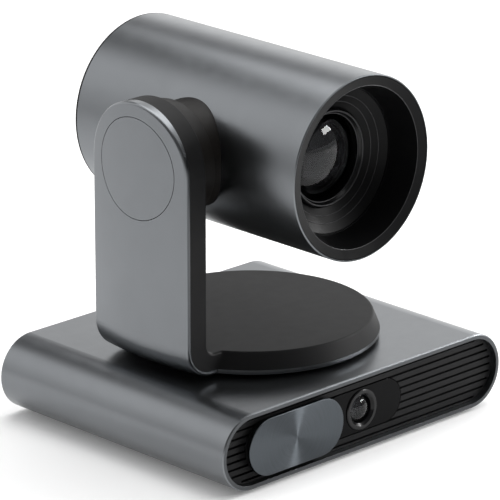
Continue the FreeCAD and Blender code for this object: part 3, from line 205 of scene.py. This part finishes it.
MATERIALS = {
    # The shell's faces that look forward get painted shade: their colour is darkened, not lit darker.
    "shell": paint_front_shade(
        surface("anodised_shell", (0.187, 0.196, 0.206), 0.30, metallic=1.0, grain=0.12, depth=0.0018,
                drift=0.03, rough_drift=0.02, edge=0.15), 0.4),
    "dark": surface("dark_cover", (0.009, 0.009, 0.0094), 0.52, grain=0.25, depth=0.003,
                    rough_drift=0.015, edge=0.2, Specular_IOR_Level=0.13),
    "hub": surface("dark_hub", (0.009, 0.0078, 0.007), 0.42, grain=0.25, depth=0.004, edge=0.2,
                   Specular_IOR_Level=0.12),
    "slats": surface("slat_black", (0.009, 0.009, 0.0095), 0.5, grain=0.2, depth=0.004, edge=0.12,
                     Specular_IOR_Level=0.12),
    "gloss": surface("gloss_black", (0.004, 0.004, 0.0043), 0.14, grain=0.5, depth=0.0005, rough_drift=0.02,
                     edge=0.15, Specular_IOR_Level=0.05),
    "hood": surface("hood_black", (0.004, 0.004, 0.0043), 0.33, grain=0.2, depth=0.002, edge=0.12,
                    Specular_IOR_Level=0.08),
    "lens_ring": surface("lens_ring_black", (0.005, 0.005, 0.0055), 0.22, grain=0.3, depth=0.001, edge=0.12,
                         Specular_IOR_Level=0.25),
    "rubber": surface("foot_rubber", (0.02, 0.02, 0.02), 0.8, grain=0.4, depth=0.02),
    "rear": surface("rear_black", (0.02, 0.02, 0.021), 0.5, grain=0.3, depth=0.008),
    "aluminium": surface("structure_aluminium", (0.6, 0.61, 0.62), 0.4, metallic=1.0, grain=0.4, depth=0.01),
    "steel": surface("steel", (0.55, 0.55, 0.55), 0.25, metallic=1.0, grain=0.3, depth=0.004),
    "black_steel": surface("black_steel", (0.05, 0.05, 0.052), 0.35, metallic=0.8, grain=0.3, depth=0.004),
    "brass": surface("brass", (0.75, 0.52, 0.2), 0.3, metallic=1.0, grain=0.3, depth=0.004),
    "plated": surface("plated_shell", (0.6, 0.6, 0.61), 0.25, metallic=1.0, grain=0.5, depth=0.003),
    "board": surface("board_green", (0.02, 0.12, 0.05), 0.4, grain=0.8, depth=0.01),
    "carriage": surface("carriage_black", (0.015, 0.015, 0.016), 0.5),
    "pulley": surface("pulley_white", (0.7, 0.69, 0.65), 0.45),
    "belt": surface("belt_rubber", (0.018, 0.018, 0.018), 0.7, grain=0.5, depth=0.02),
    "glass": coated_glass("lens_glass", (0.85, 0.87, 0.92), 1.14),
    "front_glass": coated_glass("front_lens_glass", (0.2, 0.205, 0.22), 1.3),
    "badge": spun_metal("badge_metal", (0.088, 0.098, 0.108), 0.42, BADGE_CENTRE, 0.35),
}

BY_SLOT = {
    "anodised_shell": "shell", "dark_cover": "dark", "dark_hub": "hub", "slat_black": "slats",
    "gloss_black": "gloss", "hood_black": "hood", "badge_metal": "badge", "lens_ring_black": "lens_ring",
    "lens_glass": "glass", "rear_black": "rear", "foot_rubber": "rubber", "belt_rubber": "belt",
    "structure_aluminium": "aluminium", "steel": "steel", "black_steel": "black_steel", "brass": "brass",
    "plated_shell": "plated", "board_green": "board", "carriage_black": "carriage", "pulley_white": "pulley",
}


def dress_nodes():
    """Gives every CAD node the material of its slot."""
    for part in frame["record"]["subparts"]:
        mesh = frame["nodes"][part["node"]].data
        mesh.materials.clear()
        mesh.materials.append(MATERIALS[BY_SLOT[part["material_slot"]]])


# --- Mesh helpers: outlines and places in millimetres ---
def piece(name, parts, body, slot_name, smooth_below=35):
    """One object from (vertices, faces) parts, riding a body and finished like a material slot."""
    work = bmesh.new()
    for verts, faces in parts:
        made = [work.verts.new([c * MM for c in v]) for v in verts]
        for face in faces:
            work.faces.new([made[k] for k in face])
    bmesh.ops.recalc_face_normals(work, faces=work.faces)
    mesh = bpy.data.meshes.new(name)
    work.to_mesh(mesh)
    work.free()
    mesh.shade_smooth()
    mesh.set_sharp_from_angle(angle=math.radians(smooth_below))
    mesh.materials.append(MATERIALS[BY_SLOT[slot_name]])
    obj = bpy.data.objects.new(name, mesh)
    bpy.context.scene.collection.objects.link(obj)
    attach(obj, body)
    return obj


def turned(profile, centre, steps=96):
    """A closed outline of (radius, distance back from the centre) turned about the Y line through centre."""
    verts, rings = [], []
    for radius, along in profile:
        first, count = len(verts), steps if radius else 1
        for k in range(count):
            a = math.tau * k / steps
            x, z = radius * math.cos(a), radius * math.sin(a)
            verts.append((centre[0] + x, centre[1] + along, centre[2] + z))
        rings.append([first + k % count for k in range(steps)])
    faces = []
    for low, high in zip(rings, rings[1:] + rings[:1]):
        for k in range(steps):
            n = (k + 1) % steps
            corners = list(dict.fromkeys((low[k], low[n], high[n], high[k])))
            if len(corners) > 2:
                faces.append(corners)
    return verts, faces


def dome(rim_r, sphere_r, apex, back, count=14):
    """Outline of a lens: domed front from its apex out to the rim, flat back."""
    half_angle = math.asin(rim_r / sphere_r)
    angles = [half_angle * k / count for k in range(count + 1)]
    front = [(sphere_r * math.sin(a), apex + sphere_r * (1 - math.cos(a))) for a in angles]
    return front + [(rim_r, back), (0, back)]


def comb(outer_r, radii, start, pitch, tooth=0.9):
    """Outline of a stepped light trap: sharp teeth at falling radii behind one another."""
    teeth = []
    for k, r in enumerate(radii):
        at = start + k * pitch
        teeth += [(r + tooth, at), (r, at + pitch * 0.75), (r, at + pitch * 0.85)]
    end = start + len(radii) * pitch
    return [(outer_r, start)] + teeth + [(radii[-1] + tooth, end), (outer_r, end)]


def bead(radius, along, size, count=10):
    """Outline of a round ridge."""
    return [(radius + size * math.cos(math.tau * k / count), along + size * math.sin(math.tau * k / count))
            for k in range(count)]


def slab(outline, low, high):
    """A flat outline of (x, z) points given thickness along Y."""
    n = len(outline)
    verts = [(x, low, z) for x, z in outline] + [(x, high, z) for x, z in outline]
    sides = [(k, (k + 1) % n, n + (k + 1) % n, n + k) for k in range(n)]
    return verts, [tuple(range(n)), tuple(range(n, 2 * n))] + sides


def ribbon(path, middle_x, wide, thick):
    """A bent metal strip that follows (y, z) points."""
    edges = []
    for k, (y, z) in enumerate(path):
        before, after = path[max(k - 1, 0)], path[min(k + 1, len(path) - 1)]
        along = Vector((after[0] - before[0], after[1] - before[1])).normalized() * thick / 2
        edges.append([(y - along.y, z + along.x), (y + along.y, z - along.x)])
    verts = [(middle_x + side * wide / 2, *point) for pair in edges for point in pair for side in (-1, 1)]
    faces = [(0, 1, 3, 2), tuple(4 * len(edges) - 4 + k for k in (0, 1, 3, 2))]
    for k in range(0, 4 * len(edges) - 4, 4):
        faces += [(k, k + 1, k + 5, k + 4), (k + 2, k + 3, k + 7, k + 6), (k, k + 2, k + 6, k + 4),
                  (k + 1, k + 3, k + 7, k + 5)]
    return verts, faces


def thread(bore_r, pitch, low, high, centre, steps=36):
    """A thread ridge winding up a bore along Z, its foot sunk a little into the wall."""
    turns = (high - low) / pitch
    count = int(turns * steps)
    foot_r, crest_r = bore_r + 0.03, bore_r - 0.28 * pitch
    verts = []
    for k in range(count + 1):
        a, z = math.tau * k / steps, low + (high - low) * k / count
        for radius, rise in ((foot_r, -0.38), (crest_r, 0.0), (foot_r, 0.38)):
            x, y = radius * math.cos(a), radius * math.sin(a)
            verts.append((centre[0] + x, centre[1] + y, z + rise * pitch))
    faces = [(0, 1, 2), tuple(3 * count + k for k in range(3))]
    for k in range(count):
        for m in range(3):
            n = (m + 1) % 3
            faces.append((3 * k + m, 3 * k + n, 3 * k + 3 + n, 3 * k + 3 + m))
    return verts, faces


def place(name):
    """(lowest corner, highest corner, middle) of a node in millimetres."""
    low, high = (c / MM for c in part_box(name))
    return low, high, (low + high) / 2


# --- Lenses: turned outlines are (radius, distance back) ---
def front_lens(node_name, piece_name, sphere_r, body):
    """A smooth domed lens of a node's size, in darker glass that reflects more than the inner lenses'."""
    low, high, middle = place(node_name)
    outline = dome(high.x - middle.x, sphere_r, low.y - high.y, 0, 28)
    lens = piece(piece_name, [turned(outline, (middle.x, high.y, middle.z), 144)], body, "lens_glass")
    lens.data.materials[0] = MATERIALS["front_glass"]
    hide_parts(node_name)


def iris_blade(number, centre, count=7, open_r=5.2, outer_r=12.0, first_back=7.95, thick=0.08, gap=0.02):
    """One leaf: a straight edge that closes one side of the opening, and an arc behind it."""
    turn = math.tau * number / count
    half = math.acos(open_r / outer_r)
    angles = [turn + half * (k / 8 - 1) for k in range(17)]
    outline = [(outer_r * math.cos(a), outer_r * math.sin(a)) for a in angles]
    front = centre[1] + first_back + number * (thick + gap)
    return slab([(centre[0] + x, centre[2] + z) for x, z in outline], front, front + thick)


def lens_interior():
    """What lies behind the front element: its retainer, a second lens, a light trap and the iris."""
    _, high, middle = place("front_element")
    back = (middle.x, high.y, middle.z)
    retainer = [(16.7, 0.1), (15.1, 0.1), (14.7, 0.6), (14.7, 1.6), (16.7, 1.6)]
    piece("lens_retainer", [turned(retainer, back)], "head", "lens_ring_black")
    piece("second_element", [turned(dome(14.4, 40.0, 0.5, 4.2), back)], "head", "lens_glass")
    trap = comb(16.6, [13.6, 12.5, 11.4, 10.3], 4.4, 0.85)
    piece("lens_light_trap", [turned(trap, back)], "head", "hood_black")
    piece("iris_blades", [iris_blade(k, back) for k in range(7)], "head", "hood_black")


def hood_rings():
    """Fine raised rings on the hood's mouth and floor, and on the lens ring's nose."""
    low, _, middle = place("lens_hood")
    front = (middle.x, low.y, middle.z)
    mouth_and_floor = [(37.5, 1.25, 0.16), (29.5, 18.15, 0.22), (26.4, 19.94, 0.22)]
    nose = [(21.8, 20.55, 0.42), (20.5, 22.3, 0.3)]
    rings = [turned(bead(*ring), front, 144) for ring in mouth_and_floor + nose]
    piece("hood_rings", rings, "head", "black_steel")


def overview_interior():
    """A second lens and a light trap behind the small lens in the base."""
    low, _, middle = place("overview_lens_barrel")
    front = (middle.x, low.y, middle.z)
    piece("overview_second_lens", [turned(dome(4.9, 7.5, 0.5, 3.2, 10), front, 64)], "base", "lens_glass")
    trap = comb(5.1, [3.6, 2.9, 2.2, 1.5], 3.4, 0.9)
    piece("overview_light_trap", [turned(trap, front, 64)], "base", "hood_black")


# --- Sockets and threads ---
def socket_contacts():
    """Eight sprung contacts under the roof of the network socket."""
    low, high, middle = place("lan_port")
    face, roof = high.y, low.z + 10.8
    count, pitch, wide, thick = 8, 1.02, 0.5, 0.2
    path = [(-3.0, -0.2), (-10.0, -0.2), (-11.0, -0.6), (-10.8, -1.0), (-4.8, -2.7), (-4.2, -2.5)]
    bent = [(face + y, roof + z) for y, z in path]
    strips = [ribbon(bent, middle.x + pitch * (k - (count - 1) / 2), wide, thick) for k in range(count)]
    piece("network_contacts", strips, "base", "brass")


def threads():
    """Thread ridges in the tripod insert (1/4-20) and in the four bracket inserts (M4)."""
    tripod_bore_r, tripod_pitch = 2.55, 1.27
    low, _, middle = place("tripod_insert")
    ridges = [thread(tripod_bore_r, tripod_pitch, low.z + 0.6, low.z + 5.4, middle)]
    bracket_bore_r, bracket_pitch, insert_r = 1.65, 0.7, 3.5
    low, high, middle = place("bracket_inserts")
    reach = [(high[i] - low[i]) / 2 - insert_r for i in range(2)]
    corners = [(middle.x + i * reach[0], middle.y + j * reach[1]) for i in (-1, 1) for j in (-1, 1)]
    ridges += [thread(bracket_bore_r, bracket_pitch, low.z + 0.4, low.z + 5.6, at) for at in corners]
    piece("insert_threads", ridges, "base", "brass")


dress_nodes()
front_lens("front_element", "front_lens_dome", 36.0, "head")
front_lens("overview_lens_glass", "overview_lens_dome", 9.0, "base")
lens_interior()
hood_rings()
overview_interior()
socket_contacts()
threads()


# --- Floor, light and camera ---
AIM = Vector((-0.0008, 0.0, 0.0787))
ORBIT_CENTRE = Vector((0.0, 0.0, 0.0735))
AZIMUTH, ELEVATION = math.radians(-44.45), math.radians(18.98)
DISTANCE = 1.8844
LENS_MM = 294.4
FLOOR_HALF = 6.0
FLOOR_GLOW = 0.1
LIGHTS_AIM = Vector((0, 0, 0.09))
WORLD_LEVEL = 1.4
# Where the studio is dimmed: direction, angle of full effect, angle of none (degrees), factor.
WORLD_PANELS = [
    ((0.25, 0.68, 0.69), 10, 34, 0.08),
    ((-0.3, -1.0, 0.15), 55, 100, 0.12),
    ((-0.95, 0.2, 0.05), 12, 40, 0.2),
]


def outward(azimuth, elevation):
    """The unit vector towards a viewer at an azimuth and elevation; azimuth 0 looks along +Y."""
    flat = math.cos(elevation)
    return Vector((math.sin(azimuth) * flat, -math.cos(azimuth) * flat, math.sin(elevation)))


def add_camera():
    """The camera at the photo's viewpoint."""
    data = bpy.data.cameras.new("camera")
    data.lens = LENS_MM
    data.sensor_width = 36.0
    data.clip_end = 20.0
    camera = bpy.data.objects.new("camera", data)
    bpy.context.scene.collection.objects.link(camera)
    towards = outward(AZIMUTH, ELEVATION)
    camera.location = ORBIT_CENTRE + towards * DISTANCE
    camera.rotation_euler = (camera.location - AIM).to_track_quat("Z", "Y").to_euler()
    bpy.context.scene.camera = camera


def softbox(name, azimuth, elevation, distance, size, power):
    """A rectangular light at an azimuth and elevation in degrees, turned to the object."""
    data = bpy.data.lights.new(name, "AREA")
    data.shape = "RECTANGLE"
    data.size, data.size_y = size
    data.energy = power
    lamp = bpy.data.objects.new(name, data)
    bpy.context.scene.collection.objects.link(lamp)
    lamp.location = LIGHTS_AIM + outward(math.radians(azimuth), math.radians(elevation)) * distance
    lamp.rotation_euler = (lamp.location - LIGHTS_AIM).to_track_quat("Z", "Y").to_euler()


def add_floor():
    """A white floor, with a faint glow that keeps it from going grey."""
    mesh = bpy.data.meshes.new("floor")
    corners = [(x * FLOOR_HALF, y * FLOOR_HALF, 0) for x, y in ((-1, -1), (1, -1), (1, 1), (-1, 1))]
    mesh.from_pydata(corners, [], [(0, 1, 2, 3)])
    floor = bpy.data.objects.new("floor", mesh)
    bpy.context.scene.collection.objects.link(floor)
    mat, tree, shader = new_tree("floor_white")
    tone = tinted(tree, object_noise(tree, 2.0), (0.93, 0.93, 0.93), (0.95, 0.95, 0.95))
    tree.links.new(tone, shader.inputs["Base Color"])
    shader.inputs["Roughness"].default_value = 0.9
    shader.inputs["Emission Color"].default_value = (1, 1, 1, 1)
    shader.inputs["Emission Strength"].default_value = FLOOR_GLOW
    mesh.materials.append(mat)


def lobe(tree, direction, centre, inner, outer):
    """1 within the inner angle of a direction, falling smoothly to 0 at the outer one, in degrees."""
    dot = node(tree, "ShaderNodeVectorMath", operation="DOT_PRODUCT")
    dot.inputs[1].default_value = Vector(centre).normalized()
    tree.links.new(direction, dot.inputs[0])
    fade = node(tree, "ShaderNodeMapRange", interpolation_type="SMOOTHSTEP")
    fade.inputs["From Min"].default_value = math.cos(math.radians(outer))
    fade.inputs["From Max"].default_value = math.cos(math.radians(inner))
    tree.links.new(dot.outputs["Value"], fade.inputs["Value"])
    return fade.outputs["Result"]


def scaled(tree, value, fac, factor):
    """A value multiplied by a factor where fac is 1, and left alone where it is 0."""
    blend = node(tree, "ShaderNodeMapRange")
    blend.inputs["To Min"].default_value = 1.0
    blend.inputs["To Max"].default_value = factor
    tree.links.new(fac, blend.inputs["Value"])
    product = node(tree, "ShaderNodeMath", operation="MULTIPLY")
    tree.links.new(value, product.inputs[0])
    tree.links.new(blend.outputs["Result"], product.inputs[1])
    return product.outputs[0]


def light_world():
    """A pale studio, dimmed above and behind the object, in front of it and to its left."""
    world = bpy.data.worlds.new("studio")
    world.use_nodes = True
    tree = world.node_tree
    direction = node(tree, "ShaderNodeTexCoord").outputs["Generated"]
    level = node(tree, "ShaderNodeValue").outputs[0]
    level.default_value = WORLD_LEVEL
    for centre, inner, outer, factor in WORLD_PANELS:
        level = scaled(tree, level, lobe(tree, direction, centre, inner, outer), factor)
    background = tree.nodes["Background"]
    background.inputs["Color"].default_value = (1, 1, 1, 1)
    tree.links.new(level, background.inputs["Strength"])
    bpy.context.scene.world = world


add_camera()
add_floor()
light_world()
softbox("top_box", 120, 78, 1.1, (1.3, 1.3), 11.5)
softbox("lens_box", 46, 16, 1.3, (0.5, 0.16), 6)
softbox("lens_strip", 67, 22, 1.3, (0.12, 0.44), 6)
bpy.context.scene.view_settings.view_transform = "Standard"
